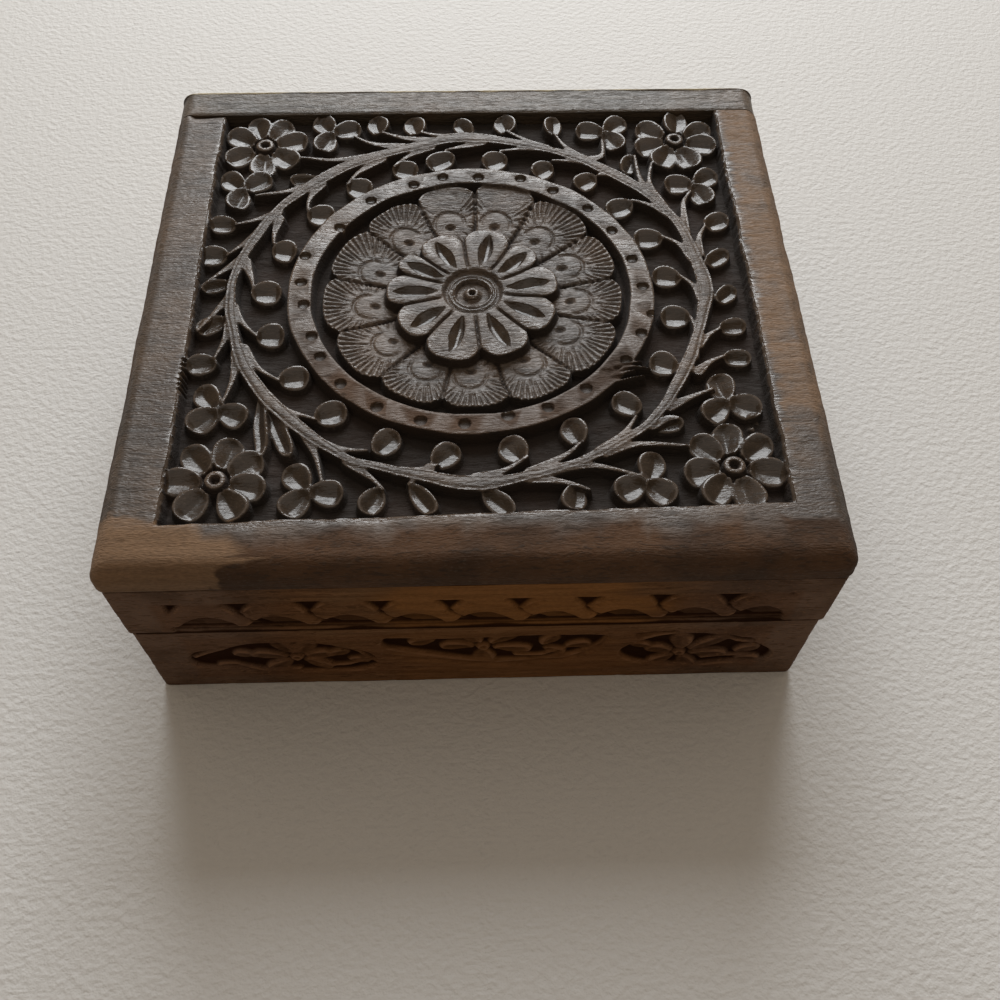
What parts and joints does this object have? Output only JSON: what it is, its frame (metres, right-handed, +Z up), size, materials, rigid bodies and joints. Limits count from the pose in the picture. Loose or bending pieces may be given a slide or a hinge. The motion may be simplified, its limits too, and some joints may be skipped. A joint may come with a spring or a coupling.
{
  "type": "trinket box",
  "caption": "Square hardwood trinket box with a hinged lid, its top carved in relief with a flower, a rosette, a pierced-dot ring and a leafy vine, and its sides with carved bands.",
  "frame": {"origin": "bottom centre of the shut box, on the surface it stands on", "axes": "+Z up, +X to the right along the front, the front faces -Y and the hinges are at +Y"},
  "size_m": [0.15, 0.1424, 0.0565],
  "materials": {
    "carved_top_wood": "waxed",
    "strip_wood": "waxed",
    "rail_wood": "waxed",
    "wall_wood": "waxed",
    "board_wood": "bare",
    "hinge_brass": "aged",
    "hinge_pin_steel": "aged",
    "screw_brass": "aged"
  },
  "bodies": {
    "base": {"base_front_wall": "wall_wood", "base_back_wall": "wall_wood", "base_left_wall": "wall_wood", "base_right_wall": "wall_wood", "bottom_board": "board_wood", "hinge_left_lower_leaf": "hinge_brass", "hinge_left_pin": "hinge_pin_steel", "hinge_left_lower_screw_1": "screw_brass", "hinge_left_lower_screw_2": "screw_brass", "hinge_right_lower_leaf": "hinge_brass", "hinge_right_pin": "hinge_pin_steel", "hinge_right_lower_screw_1": "screw_brass", "hinge_right_lower_screw_2": "screw_brass"},
    "lid": {"lid_panel": "carved_top_wood", "lid_back_strip": "strip_wood", "lid_front_rail": "rail_wood", "lid_back_rail": "rail_wood", "lid_left_rail": "rail_wood", "lid_right_rail": "rail_wood", "hinge_left_upper_leaf": "hinge_brass", "hinge_left_upper_screw_1": "screw_brass", "hinge_left_upper_screw_2": "screw_brass", "hinge_right_upper_leaf": "hinge_brass", "hinge_right_upper_screw_1": "screw_brass", "hinge_right_upper_screw_2": "screw_brass"}
  },
  "joints": [
    {"name": "lid_hinge", "type": "hinge", "parent": "base", "child": "lid", "pos_m": [0, 0.068, 0.0288], "axis": [-1, 0, 0], "range_deg": [0, 105]}
  ]
}
